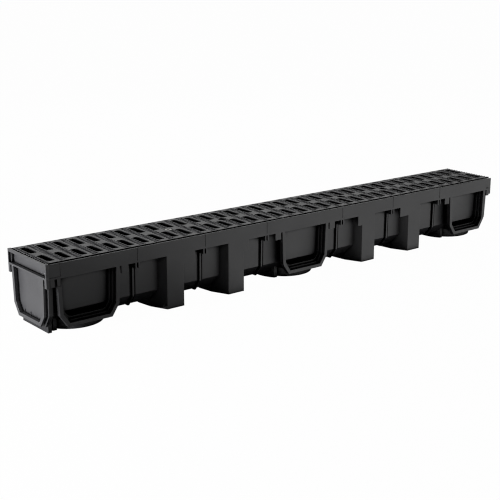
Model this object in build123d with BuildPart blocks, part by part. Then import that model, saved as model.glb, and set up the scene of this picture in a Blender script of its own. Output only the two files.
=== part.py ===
from build123d import *
import os

# A plastic channel drain: a long trough with side and bottom outlets, its slotted grate,
# the end cap at its near end and the steel screw that holds the grate. Sizes are in
# millimetres. X runs along the channel, Z is up, and the origin is under the middle, on
# the surface that the channel's feet stand on.

# Sizes of the whole channel
overall_length = 1007.0
channel_width = 120.0
seat_top = 112.0
ledge_top = 91.5
ledge_thickness = 3.0
seat_wall = 3.5
seam_width = 1.2
seam_depth = 0.4
socket_length = 18.0
tongue_length = 15.0
tongue_wall = 1.8
tongue_drop = 10.0
tongue_step = 1.0

# Trough section, as the outer form of its wall
trough_top_half = 43.5
trough_knee_half = 42.5
trough_foot_half = 28.0
trough_knee_height = 31.0
trough_bottom = 13.0
trough_wall = 2.5

# Outlet frames, three on each side, in the plane of the seat walls
outlet_end_distance = 71.0
outlet_top_half = 53.5
outlet_knee_half = 51.0
outlet_foot_half = 38.0
outlet_knee_height = 30.0
outlet_sill = 10.5
outlet_rim = 5.8
outlet_rim_depth = 6.0
outlet_step = 3.2
outlet_step_depth = 5.0
outlet_flange = 8.0
outlet_neck_inset = 5.0
panel_corner_radius = 12.0

# Bottom outlets under the frames, for a pipe of 110 mm
spigot_radius = 50.0
spigot_wall = 2.5
spigot_height = 16.0
spigot_reach = 10.0
spigot_shoulder = 0.8
collar_gap = 5.5
collar_wall = 5.0
collar_height = 20.5
collar_half_width = 34.0
end_foot_thickness = 6.0
end_foot_half_width = 40.0

# Hollow anchor blocks that stand in the concrete, four on each side
anchor_from_middle = 154.2
anchor_from_end_outlet = 155.8
anchor_face_width = 32.2
anchor_waist_y = 29.0
anchor_waist_width = 58.0
anchor_middle_width = 65.0
anchor_wall = 3.0
anchor_tab_height = 18.0
anchor_inner_tab = 10.6
anchor_outer_tab = 22.6

# Stiffening ribs, each in its own groove round the trough, with two fins at the top
rib_from_middle = 87.9
rib_from_end_outlet = 85.7
rib_width = 3.0
rib_height = 2.5
groove_width = 11.0
groove_depth = 3.0
fin_width = 2.5
fin_slot = 3.0
fin_drop = 9.5

# Small tabs under the seat walls, beside the frames and at both ends
tab_height = 12.0
tab_wall = 3.0
frame_tab_slit = 3.0
frame_tab_width = 12.5

# End flanges of the trough
flange_thickness = 7.0
flange_step = 1.0
cap_seat_depth = 2.8

# End cap
fit_clearance = 0.2
cap_rim_depth = 5.3
cap_recess = 7.0
cap_panel = 2.2
cap_top_drop = 0.5
cap_lip_height = 4.5
cap_lip_thickness = 2.6
cap_side_wall = 2.2
cap_ring_step = 3.5
cap_ring_rim = 5.8
cap_ring_flange = 3.0
cap_neck_inset = 3.2
cap_ring_sill_step = 1.0
cap_tab_height = 12.5
cap_tab_width = 5.8
cap_nose_room = 1.4

# Grate
grate_end_gap = 3.5
grate_side_gap = 1.2
grate_near_gap = 3.0
grate_top = 113.5
grate_plate = 5.0
grate_side_rail = 3.5
grate_mid_rail = 3.0
grate_web = 2.8
grate_web_drop = 14.0
grate_nose = 6.0
grate_nose_thickness = 2.6
slot_spacing = 27.75
slot_width = 12.5
slot_length = 37.0
slot_corner = 2.4
slot_row_offset = 27.0
slot_set_back = 1.3
strip_width = 10.0
strip_margin = 1.5
strip_sink = 1.2
fixing_pitches = (-9, -5, 5, 9)
screw_pitch = -9
fixing_radius = 4.2
fixing_pad_radius = 9.0
fixing_boss_width = 16.0
fixing_sink_radius = 7.5
fixing_sink_depth = 3.6

# Grate screw and the bridges that it goes into
screw_shank_radius = 3.0
screw_head_radius = 6.0
screw_head_height = 3.4
screw_length = 36.0
screw_drive_radius = 2.6
screw_drive_depth = 2.2
bridge_top = 84.0
bridge_height = 12.0
bridge_width = 6.0
bridge_boss_width = 14.0

# Places worked out from the sizes above
half_width = channel_width / 2
cap_face_x = -overall_length / 2
tongue_tip_x = overall_length / 2
body_near_x = cap_face_x + cap_rim_depth + fit_clearance
seat_far_x = tongue_tip_x - tongue_length
ledge_under = ledge_top - ledge_thickness
near_flange_x = body_near_x + flange_step
far_face_x = seat_far_x + flange_step + flange_thickness
trough_near_x = near_flange_x + cap_seat_depth
seat_inner_half = half_width - seat_wall
outlet_spacing = overall_length / 2 - outlet_end_distance
outlet_places = (-outlet_spacing, 0, outlet_spacing)
anchor_inner_x = anchor_from_middle
anchor_outer_x = outlet_spacing - anchor_from_end_outlet
anchor_places = (-anchor_outer_x, -anchor_inner_x, anchor_inner_x, anchor_outer_x)
rib_inner_x = rib_from_middle
rib_outer_x = outlet_spacing - rib_from_end_outlet
rib_between_x = (rib_inner_x + rib_outer_x) / 2
rib_places = (-rib_outer_x, -rib_between_x, -rib_inner_x, rib_inner_x, rib_between_x, rib_outer_x)
grate_near_x = cap_face_x + cap_lip_thickness + grate_near_gap
grate_length = tongue_tip_x - grate_end_gap - grate_near_x
grate_middle_x = grate_near_x + grate_length / 2
grate_half_width = seat_inner_half - grate_side_gap
slot_count = round(grate_length / slot_spacing)
slot_pitch = grate_length / slot_count
fixing_places = [grate_middle_x + slot_pitch * step for step in fixing_pitches]


def u_outline(top_half, knee_half, foot_half, top, knee, foot, inset=0.0):
    """A U shape closed along its top, inset from its sides and bottom by an even band."""
    with BuildSketch() as outline:
        with BuildLine():
            Polyline(
                (0, top + inset),
                (top_half, top + inset),
                (knee_half, knee),
                (foot_half, foot),
                (0, foot),
            )
            mirror(about=Plane.YZ)
        make_face()
        if inset:
            offset(amount=-inset, kind=Kind.INTERSECTION)
    return outline.sketch


def trough_outline(inset=0.0, top=ledge_top):
    """The trough's section: its outer form, or the water way inside its wall."""
    return u_outline(trough_top_half, trough_knee_half, trough_foot_half,
                     top, trough_knee_height, trough_bottom, inset)


def outlet_outline(inset=0.0):
    """The outline that the outlet frames and the end flanges share."""
    return u_outline(outlet_top_half, outlet_knee_half, outlet_foot_half,
                     ledge_under, outlet_knee_height, outlet_sill, inset)


def panel_outline():
    """The closed panel at the back of an outlet frame, with round lower corners."""
    with BuildSketch() as outline:
        add(outlet_outline(outlet_rim + 2 * outlet_step))
        lower_corners = outline.vertices().group_by(Axis.Y)[:2]
        fillet(lower_corners[0] + lower_corners[1], panel_corner_radius)
    return outline.sketch


def cap_outline(inset=0.0):
    """The outline of the end cap's lower ring, one step inside the end flange."""
    return u_outline(outlet_top_half - cap_ring_step, outlet_knee_half - cap_ring_step,
                     outlet_foot_half - cap_ring_step, ledge_under, outlet_knee_height,
                     outlet_sill + cap_ring_sill_step, inset)


def anchor_outline(inset=0.0):
    """The plan of a pair of anchor blocks and the foot between them."""
    with BuildSketch() as outline:
        with BuildLine():
            Polyline(
                (anchor_middle_width / 2, 0),
                (anchor_waist_width / 2, -anchor_waist_y),
                (anchor_face_width / 2, -half_width),
                (-anchor_face_width / 2, -half_width),
                (-anchor_waist_width / 2, -anchor_waist_y),
                (-anchor_middle_width / 2, 0),
            )
            mirror(about=Plane.XZ)
        make_face()
        if inset:
            offset(amount=-inset, kind=Kind.INTERSECTION)
    return outline.sketch


def side_plane(depth):
    """A plane parallel to the channel's side, this deep behind its face."""
    return Plane.XZ.offset(half_width - depth)


# The channel body is one moulding of black polypropylene. Its side features are made on
# one side and mirrored, and the trough is laid over them before its water way is cut.
outlet_centres = [(outlet_x, 0) for outlet_x in outlet_places]
anchor_centres = [(anchor_x, 0) for anchor_x in anchor_places]
with BuildPart() as channel_body:
    # Outlet frames: a flange in the side plane on a narrower neck, around a stepped recess
    with BuildSketch(side_plane(0)):
        with Locations(*outlet_centres):
            add(outlet_outline())
    extrude(amount=-outlet_flange)
    with BuildSketch(side_plane(outlet_flange)):
        with Locations(*outlet_centres):
            add(outlet_outline(outlet_neck_inset))
    extrude(amount=outlet_flange - half_width)
    with BuildSketch(side_plane(0)):
        with Locations(*outlet_centres):
            add(outlet_outline(outlet_rim))
    extrude(amount=-outlet_rim_depth, mode=Mode.SUBTRACT)
    with BuildSketch(side_plane(outlet_rim_depth)):
        with Locations(*outlet_centres):
            add(outlet_outline(outlet_rim + outlet_step))
    extrude(amount=-outlet_step_depth, mode=Mode.SUBTRACT)
    with BuildSketch(side_plane(outlet_rim_depth + outlet_step_depth)):
        with Locations(*outlet_centres):
            add(panel_outline())
    extrude(amount=-trough_foot_half + outlet_rim_depth, mode=Mode.SUBTRACT)

    # Tabs that hang from the seat wall in the side plane, and the fins above the ribs
    with BuildSketch(side_plane(0)):
        for anchor_x in anchor_places:
            tab_width = anchor_inner_tab if abs(anchor_x) == anchor_inner_x else anchor_outer_tab
            towards_middle = -1 if anchor_x > 0 else 1
            tab_x = anchor_x + towards_middle * (anchor_face_width + tab_width) / 2
            with Locations((tab_x, ledge_under)):
                Rectangle(tab_width, anchor_tab_height, align=(Align.CENTER, Align.MAX))
        for outlet_x, side in ((-outlet_spacing, 1), (0, -1), (0, 1), (outlet_spacing, -1)):
            tab_x = outlet_x + side * (outlet_top_half + frame_tab_slit + frame_tab_width / 2)
            with Locations((tab_x, ledge_under)):
                Rectangle(frame_tab_width, tab_height, align=(Align.CENTER, Align.MAX))
        for tab_x in (near_flange_x + flange_thickness / 2, far_face_x - flange_thickness / 2):
            with Locations((tab_x, ledge_under)):
                Rectangle(flange_thickness, tab_height, align=(Align.CENTER, Align.MAX))
    extrude(amount=-tab_wall)
    with BuildSketch(side_plane(0)):
        for rib_x in rib_places:
            with Locations((rib_x, ledge_under)):
                with GridLocations(fin_slot + fin_width, 0, 2, 1):
                    Rectangle(fin_width, fin_drop, align=(Align.CENTER, Align.MAX))
    extrude(amount=trough_foot_half - half_width)

    # The seat wall stands on the ledge, and a thinner tongue carries it on at the far end
    with BuildSketch(Plane.XY.offset(ledge_under)):
        with Locations(((body_near_x + seat_far_x) / 2, -half_width)):
            Rectangle(seat_far_x - body_near_x, seat_wall, align=(Align.CENTER, Align.MIN))
    extrude(amount=seat_top - ledge_under)
    with BuildSketch(Plane.XY.offset(ledge_under - tongue_drop)):
        with Locations((seat_far_x - seat_wall, -seat_inner_half)):
            Rectangle(tongue_length + seat_wall, tongue_wall, align=(Align.MIN, Align.MAX))
    extrude(amount=seat_top - ledge_under + tongue_drop - tongue_step)
    # A shallow set-back at the near end, and a fine seam above each rib
    with BuildSketch(side_plane(0)):
        with Locations((body_near_x, ledge_under - tab_height)):
            Rectangle(socket_length, seat_top, align=(Align.MIN, Align.MIN))
        for rib_x in rib_places:
            with Locations((rib_x, ledge_top)):
                Rectangle(seam_width, seat_top, align=(Align.CENTER, Align.MIN))
    extrude(amount=-seam_depth, mode=Mode.SUBTRACT)
    mirror(about=Plane.XZ)

    # Anchor blocks widen inwards and carry on under the trough as feet, open underneath
    with BuildSketch(Plane.XY):
        with Locations(*anchor_centres):
            add(anchor_outline())
    extrude(amount=ledge_under)
    with BuildSketch(Plane.XY):
        with Locations(*anchor_centres):
            add(anchor_outline(anchor_wall))
    extrude(amount=ledge_under, mode=Mode.SUBTRACT)

    # Bottom outlets: a spigot inside the pipe, with a shoulder that stops the pipe, and two
    # arcs of a collar around it
    with BuildSketch(Plane.XY):
        with Locations(*outlet_centres):
            Circle(spigot_radius)
            Circle(spigot_radius - spigot_wall, mode=Mode.SUBTRACT)
    extrude(amount=spigot_reach)
    with BuildSketch(Plane.XY.offset(spigot_reach)):
        with Locations(*outlet_centres):
            Circle(spigot_radius + spigot_shoulder)
            Circle(spigot_radius - spigot_wall, mode=Mode.SUBTRACT)
    extrude(amount=spigot_height - spigot_reach)
    collar_radius = spigot_radius + collar_gap
    with BuildSketch(Plane.XY):
        with Locations(*outlet_centres):
            Circle(collar_radius + collar_wall)
            Circle(collar_radius, mode=Mode.SUBTRACT)
        Rectangle(overall_length, 2 * collar_half_width, mode=Mode.INTERSECT)
        # A straight foot under the near end, against the collar there
        with Locations((-outlet_spacing - collar_radius, 0)):
            Rectangle(end_foot_thickness, 2 * end_foot_half_width, align=(Align.MAX, Align.CENTER))
    extrude(amount=collar_height)

    # End flanges and the trough itself
    with BuildSketch(Plane.YZ.offset(near_flange_x)):
        add(outlet_outline())
    extrude(amount=flange_thickness)
    with BuildSketch(Plane.YZ.offset(far_face_x)):
        add(outlet_outline())
    extrude(amount=-flange_thickness)
    with BuildSketch(Plane.YZ.offset(near_flange_x)):
        add(trough_outline())
    extrude(amount=tongue_tip_x - near_flange_x)

    # Grooves round the trough, with a rib in the middle of each
    for rib_x in rib_places:
        with BuildSketch(Plane.YZ.offset(rib_x - groove_width / 2)):
            add(trough_outline(-groove_depth, ledge_under - fin_drop))
            add(trough_outline(groove_depth, ledge_under - fin_drop), mode=Mode.SUBTRACT)
        extrude(amount=groove_width, mode=Mode.SUBTRACT)
        with BuildSketch(Plane.YZ.offset(rib_x - rib_width / 2)):
            add(trough_outline(-rib_height, ledge_under))
        extrude(amount=rib_width)

    # The ledge joins the trough to the seat walls
    with BuildSketch(Plane.XY.offset(ledge_under)):
        with Locations(((body_near_x + far_face_x) / 2, 0)):
            Rectangle(far_face_x - body_near_x, channel_width)
    extrude(amount=ledge_thickness)

    # The cap's seat in the near flange, and the water way through the whole length
    with BuildSketch(Plane.YZ.offset(body_near_x)):
        add(cap_outline(cap_neck_inset - fit_clearance))
    extrude(amount=trough_near_x - body_near_x, mode=Mode.SUBTRACT)
    with BuildSketch(Plane.YZ.offset(body_near_x)):
        add(trough_outline(trough_wall))
    extrude(amount=overall_length, mode=Mode.SUBTRACT)

    # Behind each groove the wall keeps its thickness
    for rib_x in rib_places:
        with BuildSketch(Plane.YZ.offset(rib_x - groove_width / 2 - trough_wall)):
            add(trough_outline(trough_wall / 2, ledge_under))
            add(trough_outline(trough_wall + groove_depth, ledge_under), mode=Mode.SUBTRACT)
        extrude(amount=groove_width + 2 * trough_wall)

    # Bridges across the trough, each with a boss for a grate screw
    with BuildSketch(Plane.XY.offset(bridge_top - bridge_height)):
        for bridge_x in fixing_places:
            with Locations((bridge_x, 0)):
                Rectangle(bridge_width, 2 * trough_top_half - trough_wall)
                Rectangle(bridge_boss_width, bridge_boss_width)
                Circle(screw_shank_radius + fit_clearance, mode=Mode.SUBTRACT)
    extrude(amount=bridge_height)

channel_body.part.label = "channel_body"


# The end cap is a shallow plastic moulding. Its front is flush with the ends of the seat
# walls, its upper plate closes the grate's seat, and its lower plate closes the trough.
cap_top = grate_top - cap_top_drop
lip_under = cap_top - cap_lip_height
nose_under = grate_top - grate_nose_thickness - cap_nose_room
plug_half = seat_inner_half - fit_clearance
with BuildPart() as end_cap:
    # Front band across the whole width, with a tab at each side
    with BuildSketch(Plane.YZ.offset(cap_face_x)):
        with Locations((0, ledge_under)):
            Rectangle(channel_width, cap_top - ledge_under, align=(Align.CENTER, Align.MIN))
            with GridLocations(channel_width - cap_tab_width, 0, 2, 1):
                Rectangle(cap_tab_width, cap_tab_height, align=(Align.CENTER, Align.MAX))
    extrude(amount=cap_rim_depth)
    # Lower ring: a thin flange in front, on a neck that goes into the body's flange
    with BuildSketch(Plane.YZ.offset(cap_face_x)):
        add(cap_outline())
    extrude(amount=cap_ring_flange)
    with BuildSketch(Plane.YZ.offset(cap_face_x)):
        add(cap_outline(cap_neck_inset))
    extrude(amount=trough_near_x - cap_face_x - fit_clearance)
    # Upper plate between the seat walls, under the grate's nose
    with BuildSketch(Plane.YZ.offset(cap_face_x)):
        with Locations((0, ledge_top + fit_clearance)):
            plug_height = nose_under - ledge_top - fit_clearance
            Rectangle(2 * plug_half, plug_height, align=(Align.CENTER, Align.MIN))
    extrude(amount=cap_recess + cap_panel)
    # Room for the grate's nose behind the lip
    with BuildSketch(Plane.XY.offset(nose_under)):
        with Locations((cap_face_x + cap_lip_thickness, 0)):
            Rectangle(2 * cap_recess, 2 * seat_inner_half, align=(Align.MIN, Align.CENTER))
    extrude(amount=grate_top - nose_under, mode=Mode.SUBTRACT)
    # Recesses of the two plates in the front
    with BuildSketch(Plane.YZ.offset(cap_face_x)):
        with Locations((0, ledge_top)):
            recess_width = channel_width - 2 * cap_side_wall
            Rectangle(recess_width, lip_under - ledge_top, align=(Align.CENTER, Align.MIN))
    extrude(amount=cap_rim_depth - cap_side_wall, mode=Mode.SUBTRACT)
    with BuildSketch(Plane.YZ.offset(cap_face_x)):
        with Locations((0, ledge_top)):
            recess_width = 2 * (plug_half - cap_side_wall)
            Rectangle(recess_width, lip_under - ledge_top, align=(Align.CENTER, Align.MIN))
        add(cap_outline(cap_ring_rim))
    extrude(amount=cap_recess, mode=Mode.SUBTRACT)

end_cap.part.label = "end_cap"


# The grate is one moulding: a slotted plate on side rails, a middle rail and cross webs.
# Sunk strips cross it between the slots, and four sunk holes take its screws.
with BuildPart() as grate:
    with BuildSketch(Plane.XY.offset(grate_top - grate_plate)):
        with Locations((grate_middle_x, 0)):
            Rectangle(grate_length, 2 * grate_half_width)
    extrude(amount=grate_plate)
    with BuildSketch(Plane.XY.offset(grate_top)) as slots:
        with Locations((grate_middle_x - slot_set_back, 0)):
            with GridLocations(slot_pitch, 2 * slot_row_offset, slot_count, 2):
                Rectangle(slot_width, slot_length)
        chamfer(slots.vertices(), slot_corner)
    extrude(amount=-grate_plate, mode=Mode.SUBTRACT)
    # Rails and webs stand on the ledge
    rail_length = grate_length - 2 * grate_nose
    with BuildSketch(Plane.XY.offset(ledge_top)):
        with Locations((grate_middle_x, 0)):
            Rectangle(rail_length, 2 * grate_half_width)
            Rectangle(rail_length - 2 * grate_side_rail, 2 * (grate_half_width - grate_side_rail),
                      mode=Mode.SUBTRACT)
    extrude(amount=grate_top - grate_plate - ledge_top)
    with BuildSketch(Plane.XY.offset(grate_top - grate_plate - grate_web_drop)):
        with Locations((grate_middle_x, 0)):
            Rectangle(rail_length, grate_mid_rail)
            with GridLocations(slot_pitch, 0, slot_count - 1, 1):
                Rectangle(grate_web, 2 * grate_half_width - grate_side_rail)
        with Locations(*[(fixing_x, 0) for fixing_x in fixing_places]):
            Rectangle(fixing_boss_width, fixing_boss_width)
    extrude(amount=grate_web_drop)
    # The ends have a thin nose only
    with BuildSketch(Plane.XY.offset(ledge_top)):
        with Locations((grate_middle_x, 0)):
            with GridLocations(grate_length - grate_nose, 0, 2, 1):
                Rectangle(grate_nose, 2 * grate_half_width)
    extrude(amount=grate_top - grate_nose_thickness - ledge_top, mode=Mode.SUBTRACT)
    # Strips between the slots and along both ends, left out round the fixings
    with BuildSketch(Plane.XY.offset(grate_top)):
        with Locations((grate_middle_x, 0)):
            with GridLocations(slot_pitch, 0, slot_count + 1, 1):
                Rectangle(strip_width, 2 * (grate_half_width - strip_margin))
        with Locations(*[(fixing_x, 0) for fixing_x in fixing_places]):
            Circle(fixing_pad_radius, mode=Mode.SUBTRACT)
    extrude(amount=-strip_sink, mode=Mode.SUBTRACT)
    with Locations(*[(fixing_x, 0, grate_top) for fixing_x in fixing_places]):
        CounterBoreHole(fixing_radius, fixing_sink_radius, fixing_sink_depth)

grate.part.label = "grate"


# The stainless screw has a low head with a hexagon socket.
screw_x = grate_middle_x + slot_pitch * screw_pitch
screw_seat = grate_top - fixing_sink_depth
with BuildPart() as grate_screw:
    with Locations((screw_x, 0, screw_seat)):
        Cylinder(screw_head_radius, screw_head_height, align=(Align.CENTER, Align.CENTER, Align.MIN))
        Cylinder(screw_shank_radius, screw_length, align=(Align.CENTER, Align.CENTER, Align.MAX))
    with BuildSketch(Plane.XY.offset(screw_seat + screw_head_height)):
        with Locations((screw_x, 0)):
            RegularPolygon(screw_drive_radius, 6)
    extrude(amount=-screw_drive_depth, mode=Mode.SUBTRACT)

grate_screw.part.label = "grate_screw"

os.makedirs("parts", exist_ok=True)
export_step(channel_body.part, "parts/channel_body.step")
export_step(end_cap.part, "parts/end_cap.step")
export_step(grate.part, "parts/grate.step")
export_step(grate_screw.part, "parts/grate_screw.step")
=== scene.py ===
import math

import bmesh
import bpy
from mathutils import Matrix, Vector


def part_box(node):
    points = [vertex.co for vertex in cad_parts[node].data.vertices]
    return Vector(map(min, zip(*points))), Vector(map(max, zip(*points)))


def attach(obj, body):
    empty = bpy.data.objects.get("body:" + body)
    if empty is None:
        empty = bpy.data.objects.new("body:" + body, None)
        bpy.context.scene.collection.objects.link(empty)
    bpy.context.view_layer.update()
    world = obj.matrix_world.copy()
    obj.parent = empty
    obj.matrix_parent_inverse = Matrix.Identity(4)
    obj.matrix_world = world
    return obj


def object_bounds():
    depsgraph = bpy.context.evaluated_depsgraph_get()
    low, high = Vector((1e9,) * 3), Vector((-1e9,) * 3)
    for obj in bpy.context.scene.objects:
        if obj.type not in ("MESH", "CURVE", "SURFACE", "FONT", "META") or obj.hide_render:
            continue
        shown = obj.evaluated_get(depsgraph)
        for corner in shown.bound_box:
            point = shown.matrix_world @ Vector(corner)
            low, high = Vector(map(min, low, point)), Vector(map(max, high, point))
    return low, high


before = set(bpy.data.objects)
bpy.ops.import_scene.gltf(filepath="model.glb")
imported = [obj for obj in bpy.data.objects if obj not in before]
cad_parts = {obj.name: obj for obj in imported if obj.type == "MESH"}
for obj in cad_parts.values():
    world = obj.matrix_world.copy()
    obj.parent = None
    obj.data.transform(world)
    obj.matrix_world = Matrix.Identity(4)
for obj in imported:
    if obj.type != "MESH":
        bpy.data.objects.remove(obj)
cad_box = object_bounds()


# Moulded black polypropylene, the plastic of all three mouldings. It is charcoal black
# with a satin skin: a fine spark-eroded grain, faint flow clouds, and corners that the
# mould leaves slightly round.
def linear_colour(hex_code):
    """An sRGB hex colour as the linear values that a shader takes."""
    channels = [int(hex_code[place:place + 2], 16) / 255 for place in (1, 3, 5)]
    linear = [c / 12.92 if c <= 0.04045 else ((c + 0.055) / 1.055) ** 2.4 for c in channels]
    return (*linear, 1.0)


def add_node(tree, kind, links=(), **settings):
    """Adds a shader node, sets its properties and sockets, and links its inputs."""
    node = tree.nodes.new(kind)
    for name, value in settings.items():
        if hasattr(node, name):
            setattr(node, name, value)
        else:
            node.inputs[name.replace("_", " ")].default_value = value
    for socket, source in links:
        tree.links.new(source, node.inputs[socket])
    return node


def calculate(tree, operation, *values):
    """The result of a math node on other nodes' outputs and plain numbers."""
    node = add_node(tree, "ShaderNodeMath", operation=operation)
    for place, value in enumerate(values):
        if isinstance(value, bpy.types.NodeSocket):
            tree.links.new(value, node.inputs[place])
        else:
            node.inputs[place].default_value = value
    return node.outputs[0]


def colour_ramp(tree, factor, dark_at, dark, light_at, light):
    """A ramp between two hex colours, each at its own place from 0 to 1."""
    ramp = add_node(tree, "ShaderNodeValToRGB", [("Fac", factor)])
    first, last = ramp.color_ramp.elements
    first.position = dark_at
    first.color = linear_colour(dark)
    last.position = light_at
    last.color = linear_colour(light)
    return ramp.outputs["Color"]


def moulded_polypropylene(name, dark, light, grain_mm, roughness, corner_mm=0.5, nook_mm=5, hollow=None,
                          rims=()):
    """Satin polypropylene between two shades, with its grain at the given size. It gets painted
    shade in nooks of the given size, between the two heights of a hollow, and at its rims. A rim
    is an axis, with the middle and half of the piece's size on it."""
    material = bpy.data.materials.new(name)
    material.use_nodes = True
    tree = material.node_tree
    tree.nodes.clear()
    place = add_node(tree, "ShaderNodeTexCoord").outputs["Object"]

    # Flow clouds a few centimetres wide, and a finer mottle from handling
    cloud_size = 0.045
    mottle_size = 0.006
    clouds = add_node(tree, "ShaderNodeTexNoise", [("Vector", place)],
                      Scale=1 / cloud_size, Detail=3.0, Roughness=0.55)
    mottle = add_node(tree, "ShaderNodeTexNoise", [("Vector", place)],
                      Scale=1 / mottle_size, Detail=4.0, Roughness=0.6)
    both = calculate(tree, "ADD", clouds.outputs["Fac"], mottle.outputs["Fac"])
    blend = calculate(tree, "MULTIPLY", both, 0.5)
    shade = colour_ramp(tree, blend, 0.35, dark, 0.65, light)

    # The eroded grain as bump, over corners rounded by the mould
    grain_depth = 0.0002
    grain = add_node(tree, "ShaderNodeTexNoise", [("Vector", place)],
                     Scale=1000 / grain_mm, Detail=2.0, Roughness=0.5)
    corner = add_node(tree, "ShaderNodeBevel", samples=6, Radius=corner_mm / 1000)
    bump = add_node(tree, "ShaderNodeBump",
                    [("Height", grain.outputs["Fac"]), ("Normal", corner.outputs["Normal"])],
                    Strength=0.22, Distance=grain_depth)
    gloss = add_node(tree, "ShaderNodeMapRange", [("Value", blend)], From_Min=0.3, From_Max=0.7,
                     To_Min=roughness - 0.05, To_Max=roughness + 0.06)

    # Narrow steps and gaps get painted shade, in their colour and in the strength of their gloss
    nook = add_node(tree, "ShaderNodeAmbientOcclusion", samples=8, only_local=True,
                    Distance=nook_mm / 1000)
    nook_shade = add_node(tree, "ShaderNodeMapRange", [("Value", nook.outputs["AO"])],
                     From_Min=0.55, From_Max=0.88, To_Min=0.06)
    share = nook_shade.outputs["Result"]
    # Below the hollow's lower height the colour and gloss get painted shade, fading out at its upper
    # height
    if hollow:
        height = add_node(tree, "ShaderNodeSeparateXYZ", [("Vector", place)])
        depth = add_node(tree, "ShaderNodeMapRange", [("Value", height.outputs["Z"])],
                         From_Min=hollow[0], From_Max=hollow[1], To_Min=0.02)
        share = calculate(tree, "MULTIPLY", share, depth.outputs["Result"])

    # A rim gets painted shade: it starts to darken at its width from the edge, and is darkest in its core
    rim_width = 0.0008
    rim_core = 0.0002
    for axis, middle, half_size in rims:
        way = add_node(tree, "ShaderNodeSeparateXYZ", [("Vector", place)])
        off = calculate(tree, "SUBTRACT", way.outputs[axis], middle)
        away = calculate(tree, "ABSOLUTE", off)
        edge = add_node(tree, "ShaderNodeMapRange", [("Value", away)], From_Min=half_size - rim_width,
                        From_Max=half_size - rim_core, To_Min=1.0, To_Max=0.04)
        share = calculate(tree, "MULTIPLY", share, edge.outputs["Result"])
    shaded = add_node(tree, "ShaderNodeVectorMath", [(0, shade), (1, share)], operation="MULTIPLY")
    level = calculate(tree, "MULTIPLY", share, 0.5)
    shader = add_node(tree, "ShaderNodeBsdfPrincipled",
                      [("Base Color", shaded.outputs[0]), ("Roughness", gloss.outputs["Result"]),
                       ("Normal", bump.outputs["Normal"]), ("Specular IOR Level", level)], IOR=1.49)
    add_node(tree, "ShaderNodeOutputMaterial", [("Surface", shader.outputs["BSDF"])])
    return material


def dress(node, material):
    """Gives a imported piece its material."""
    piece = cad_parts[node]
    piece.data.materials.clear()
    piece.data.materials.append(material)


# The channel body is one large moulding. Its long walls show the satin skin plainly, and
# # its deep recesses get painted shade.
body_plastic = moulded_polypropylene("polypropylene_channel", "#1a1a1c", "#212123", 0.9, 0.46, nook_mm=15)
dress("channel_body", body_plastic)


# The end cap is a small separate moulding, slightly glossier than the channel behind it. Its
# # colour is painted a little paler than the channel's, which paints in the light on its end face.
cap_plastic = moulded_polypropylene("polypropylene_cap", "#28282a", "#303032", 0.9, 0.42)
dress("end_cap", cap_plastic)


# Two small ribs stand on the cap's lower panel, just above the sill of its ring. They show
# as two small marks in the photo.
cap_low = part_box("end_cap")[0]
panel_inset = 0.0070
sill_height = 0.0058
rib_size = (0.0013, 0.0008, 0.0058)
rib_places = (0.0249, 0.0069)
panel_x = cap_low[0] + panel_inset
sill_z = cap_low[2] + sill_height
ribs_bm = bmesh.new()
for rib_y in rib_places:
    middle = Vector((panel_x - rib_size[0] / 2, rib_y, sill_z + rib_size[2] / 2))
    bmesh.ops.create_cube(ribs_bm, matrix=Matrix.Translation(middle) @ Matrix.Diagonal((*rib_size, 1)))
ribs_mesh = bpy.data.meshes.new("cap_ribs")
ribs_bm.to_mesh(ribs_mesh)
ribs_bm.free()
ribs_mesh.materials.append(cap_plastic)
cap_ribs = bpy.data.objects.new("cap_ribs", ribs_mesh)
bpy.context.scene.collection.objects.link(cap_ribs)
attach(cap_ribs, "root")


# The grate is moulded with a coarser grain on its walking surface, which looks paler. Its
# # slots get painted shade a little way down, and its outer rims get painted shade too.
grate_low, grate_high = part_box("grate")
grate_top = grate_high[2]
grate_middle = (grate_high[0] + grate_low[0]) / 2
grate_rim_shades = (("X", grate_middle, grate_high[0] - grate_middle), ("Y", 0.0, grate_high[1]))
slot_shade_heights = (grate_top - 0.0020, grate_top - 0.0002)
grate_plastic = moulded_polypropylene("polypropylene_grate", "#1e1e20", "#262628", 1.2, 0.5, corner_mm=1.0,
                                      hollow=slot_shade_heights, rims=grate_rim_shades)
dress("grate", grate_plastic)


# Sharp teeth stand in the grate's sunk strips and make it safe to walk on. They are one
# moulding with the grate. Each strip has sixteen, except where a fixing's pad takes room.
def tooth_strip(mesh, x_from, x_to, y_from, y_to, floor_z, crest_z, pitch):
    """A row of ridges that run along X, between two places across the grate."""
    count = max(1, round((y_to - y_from) / pitch))
    step = (y_to - y_from) / count
    profile = [(y_from, floor_z)]
    for tooth in range(count):
        profile.append((y_from + (tooth + 0.5) * step, crest_z))
        profile.append((y_from + (tooth + 1) * step, floor_z))
    near = [mesh.verts.new((x_from, y, z)) for y, z in profile]
    far = [mesh.verts.new((x_to, y, z)) for y, z in profile]
    for place in range(len(profile) - 1):
        mesh.faces.new((near[place], near[place + 1], far[place + 1], far[place]))
    for tooth in range(count):
        first = 2 * tooth
        mesh.faces.new((near[first + 2], near[first + 1], near[first]))
        mesh.faces.new((far[first], far[first + 1], far[first + 2]))


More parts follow.
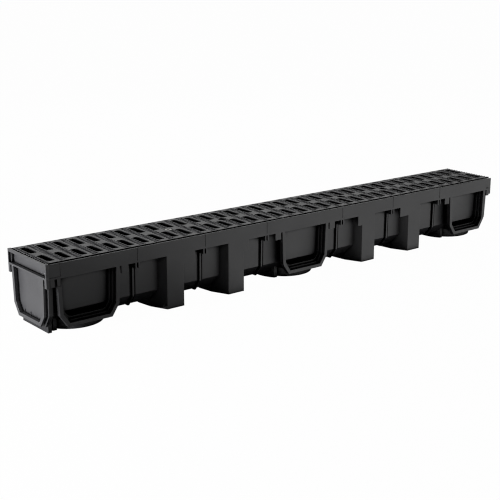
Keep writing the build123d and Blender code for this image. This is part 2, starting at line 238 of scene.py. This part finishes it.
slot_count = 36
strip_half = 0.005
strip_margin = 0.0015
strip_depth = 0.0012
tooth_clearance = 0.0001
tooth_pitch = 0.00675
pad_half = 0.009
strip_reach = grate_high[1] - strip_margin
strip_floor = grate_top - strip_depth
tooth_top = grate_top - tooth_clearance
slot_pitch = (grate_high[0] - grate_low[0]) / slot_count
fixing_strips = [slot_count // 2 + step for step in (-9, -5, 5, 9)]
teeth_bm = bmesh.new()
for strip in range(slot_count + 1):
    strip_x = grate_low[0] + strip * slot_pitch
    strip_from = max(grate_low[0], strip_x - strip_half)
    strip_to = min(grate_high[0], strip_x + strip_half)
    if strip in fixing_strips:
        spans = ((-strip_reach, -pad_half), (pad_half, strip_reach))
    else:
        spans = ((-strip_reach, strip_reach),)
    for y_from, y_to in spans:
        tooth_strip(teeth_bm, strip_from, strip_to, y_from, y_to, strip_floor, tooth_top, tooth_pitch)
teeth_mesh = bpy.data.meshes.new("grate_teeth")
teeth_bm.to_mesh(teeth_mesh)
teeth_bm.free()
# The teeth's pale colour is a painted highlight on their crests; their valleys get painted shade
tooth_shade_heights = (grate_top - 0.0006, grate_top - 0.0004)
teeth_painted_highlight = moulded_polypropylene("polypropylene_teeth_painted_highlight", "#828286", "#949498", 1.2, 0.5, corner_mm=0.2,
                                      nook_mm=1, hollow=tooth_shade_heights)
teeth_mesh.materials.append(teeth_painted_highlight)
grate_teeth = bpy.data.objects.new("grate_teeth", teeth_mesh)
bpy.context.scene.collection.objects.link(grate_teeth)
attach(grate_teeth, "root")


# The grate's screw is stainless steel, turned and lightly brushed round its head. Fine marks
# from the lathe vary its shade and its gloss.
def turned_stainless(name):
    """Stainless steel with fine turning marks."""
    material = bpy.data.materials.new(name)
    material.use_nodes = True
    tree = material.node_tree
    tree.nodes.clear()
    mark_size = 0.0004
    mark_depth = 0.0001
    place = add_node(tree, "ShaderNodeTexCoord").outputs["Object"]
    marks = add_node(tree, "ShaderNodeTexNoise", [("Vector", place)], Scale=1 / mark_size, Detail=2.0)
    bump = add_node(tree, "ShaderNodeBump", [("Height", marks.outputs["Fac"])],
                    Strength=0.15, Distance=mark_depth)
    rough = add_node(tree, "ShaderNodeMapRange", [("Value", marks.outputs["Fac"])],
                     To_Min=0.22, To_Max=0.38)
    shade = colour_ramp(tree, marks.outputs["Fac"], 0.4, "#5e5d5b", 0.62, "#8a8986")
    shader = add_node(tree, "ShaderNodeBsdfPrincipled",
                      [("Base Color", shade), ("Normal", bump.outputs["Normal"]),
                       ("Roughness", rough.outputs["Result"])], Metallic=1.0)
    add_node(tree, "ShaderNodeOutputMaterial", [("Surface", shader.outputs["BSDF"])])
    return material


dress("grate_screw", turned_stainless("stainless_steel"))


# A pale studio floor, nearly white to the camera, with a faint shadow. The drain's satin
# sides mirror it: it is darker at the near left, as in the photo, and it doesn't shine right
# under the drain.
floor_half = 30.0
floor_mesh = bpy.data.meshes.new("studio_floor")
floor_bm = bmesh.new()
bmesh.ops.create_grid(floor_bm, x_segments=1, y_segments=1, size=floor_half)
bmesh.ops.translate(floor_bm, verts=floor_bm.verts, vec=(0, 0, cad_box[0][2]))
floor_bm.to_mesh(floor_mesh)
floor_bm.free()
floor = bpy.data.objects.new("studio_floor", floor_mesh)
bpy.context.scene.collection.objects.link(floor)
floor_paint = bpy.data.materials.new("studio_floor_paint")
floor_paint.use_nodes = True
floor_tree = floor_paint.node_tree
floor_tree.nodes.clear()
ray = add_node(floor_tree, "ShaderNodeLightPath")
floor_diffuse = add_node(floor_tree, "ShaderNodeBsdfDiffuse", Color=linear_colour("#e6e6e6"))
floor_white = add_node(floor_tree, "ShaderNodeEmission", Color=(1, 1, 1, 1), Strength=1.0)
floor_way = add_node(floor_tree, "ShaderNodeTexCoord").outputs["Object"]
floor_parts = add_node(floor_tree, "ShaderNodeSeparateXYZ", [("Vector", floor_way)])
floor_x = floor_parts.outputs["X"]
floor_y = floor_parts.outputs["Y"]

# The floor's shine is a painted glow that only reflections see. In front of the drain it grows
# # from the near end on, and behind it more weakly
front_shine = add_node(floor_tree, "ShaderNodeMapRange", [("Value", floor_x)],
                       interpolation_type="SMOOTHSTEP", From_Min=-0.27, From_Max=-0.05,
                       To_Min=0.55, To_Max=1.55)
back_shine = add_node(floor_tree, "ShaderNodeMapRange", [("Value", floor_x)],
                      interpolation_type="SMOOTHSTEP", From_Min=-0.8, From_Max=-0.58,
                      To_Min=0.5, To_Max=0.8)
behind = calculate(floor_tree, "GREATER_THAN", floor_y, 0.0)
shine = add_node(floor_tree, "ShaderNodeMix",
                 [("Factor", behind), ("A", front_shine.outputs["Result"]),
                  ("B", back_shine.outputs["Result"])])

# Only the floor beside the drain and before its near end shines; under the drain the glow
# # is cut out as a painted shadow
reach = calculate(floor_tree, "ABSOLUTE", floor_y)
beside = add_node(floor_tree, "ShaderNodeMapRange", [("Value", reach)], From_Min=0.06, From_Max=0.075)
before = calculate(floor_tree, "LESS_THAN", floor_x, -0.51)
clear = calculate(floor_tree, "MAXIMUM", beside.outputs["Result"], before)
open_shine = calculate(floor_tree, "MULTIPLY", shine.outputs["Result"], clear)
floor_shine = add_node(floor_tree, "ShaderNodeEmission", [("Strength", open_shine)],
                       Color=(1, 1, 1, 1))
white_share = calculate(floor_tree, "MULTIPLY", ray.outputs["Is Camera Ray"], 0.985)
floor_seen = add_node(floor_tree, "ShaderNodeMixShader",
                      [(0, white_share), (1, floor_diffuse.outputs[0]), (2, floor_white.outputs[0])])
floor_mix = add_node(floor_tree, "ShaderNodeMixShader",
                     [(0, ray.outputs["Is Glossy Ray"]), (1, floor_seen.outputs[0]),
                      (2, floor_shine.outputs[0])])
add_node(floor_tree, "ShaderNodeOutputMaterial", [("Surface", floor_mix.outputs[0])])
floor_mesh.materials.append(floor_paint)


# The room is white to the camera and nearly dark as a light. Shiny surfaces see a pale
# wall at the back, which gives the grate its sheen.
world = bpy.data.worlds.new("studio")
bpy.context.scene.world = world
world.use_nodes = True
sky = world.node_tree
sky.nodes.clear()
sky_ray = add_node(sky, "ShaderNodeLightPath")
sky_white = add_node(sky, "ShaderNodeBackground", Color=(1, 1, 1, 1), Strength=1.0)
sky_light = add_node(sky, "ShaderNodeBackground", Color=(1, 1, 1, 1), Strength=0.015)
sky_way = add_node(sky, "ShaderNodeTexCoord").outputs["Generated"]
sky_parts = add_node(sky, "ShaderNodeSeparateXYZ", [("Vector", sky_way)])
sky_back = add_node(sky, "ShaderNodeMapRange", [("Value", sky_parts.outputs["Y"])],
                    From_Min=0.0, From_Max=0.6, To_Min=0.03, To_Max=0.4)
sky_gloss = add_node(sky, "ShaderNodeBackground", [("Strength", sky_back.outputs["Result"])],
                     Color=(1, 1, 1, 1))
gloss_mix = add_node(sky, "ShaderNodeMixShader",
                     [(0, sky_ray.outputs["Is Glossy Ray"]), (1, sky_light.outputs[0]),
                      (2, sky_gloss.outputs[0])])
sky_mix = add_node(sky, "ShaderNodeMixShader",
                   [(0, sky_ray.outputs["Is Camera Ray"]), (1, gloss_mix.outputs[0]),
                    (2, sky_white.outputs[0])])
add_node(sky, "ShaderNodeOutputWorld", [("Surface", sky_mix.outputs[0])])


# Softboxes: a low one straight off the near end, which lights the cap and leaves the long
# side in shade, a weak one above it, a large one over the back, and a faint one at the right.
def softbox(name, place, target, size, power):
    """A rectangular area lamp at a place, turned towards a target."""
    lamp = bpy.data.lights.new(name, "AREA")
    lamp.shape = "RECTANGLE"
    lamp.size, lamp.size_y = size
    lamp.energy = power
    holder = bpy.data.objects.new(name, lamp)
    bpy.context.scene.collection.objects.link(holder)
    holder.location = place
    holder.rotation_euler = (Vector(target) - Vector(place)).to_track_quat("-Z", "Y").to_euler()


softbox("softbox_end", (-1.9, 0.03, 0.2), (-0.5, 0.03, 0.06), (0.18, 0.3), 60)
softbox("softbox_left", (-1.9, 0.1, 0.8), (-0.4, 0, 0.06), (0.3, 0.5), 9)
softbox("softbox_top", (0.9, 1.6, 1.2), (0.1, 0, 0.1), (2.4, 0.6), 12)
softbox("softbox_side", (1.2, -1.3, 0.4), (0.25, -0.06, 0.05), (1.2, 0.6), 1.5)


# The camera stands where the photograph's did, found from the drain's long edges. Its
# angles are the view's turn to the right of +Y, its dip and its roll.
camera_place = Vector((-1.22239, -1.44831, 0.56484))
view_turn = math.radians(41.1987)
view_dip = math.radians(14.9932)
view_roll = math.radians(0.5924)
photo_size = 500
focal_pixels = 1089.84
centre_pixels = (302.75, 237.91)
ahead = Vector((math.sin(view_turn) * math.cos(view_dip), math.cos(view_turn) * math.cos(view_dip),
                -math.sin(view_dip)))
level_right = Vector((math.cos(view_turn), -math.sin(view_turn), 0))
level_up = level_right.cross(ahead)
right = level_right * math.cos(view_roll) + level_up * math.sin(view_roll)
up = level_up * math.cos(view_roll) - level_right * math.sin(view_roll)
camera_data = bpy.data.cameras.new("camera")
camera_data.sensor_width = 36.0
camera_data.lens = camera_data.sensor_width * focal_pixels / photo_size
camera_data.shift_x = (photo_size / 2 - centre_pixels[0]) / photo_size
camera_data.shift_y = (centre_pixels[1] - photo_size / 2) / photo_size
camera = bpy.data.objects.new("camera", camera_data)
bpy.context.scene.collection.objects.link(camera)
camera.matrix_world = Matrix.Translation(camera_place) @ Matrix((right, up, -ahead)).transposed().to_4x4()
bpy.context.scene.camera = camera
bpy.context.scene.view_settings.view_transform = "Standard"

# A pixel filter a little narrower than the usual 1.5 keeps fine edges crisp
bpy.context.scene.cycles.filter_width = 1.2
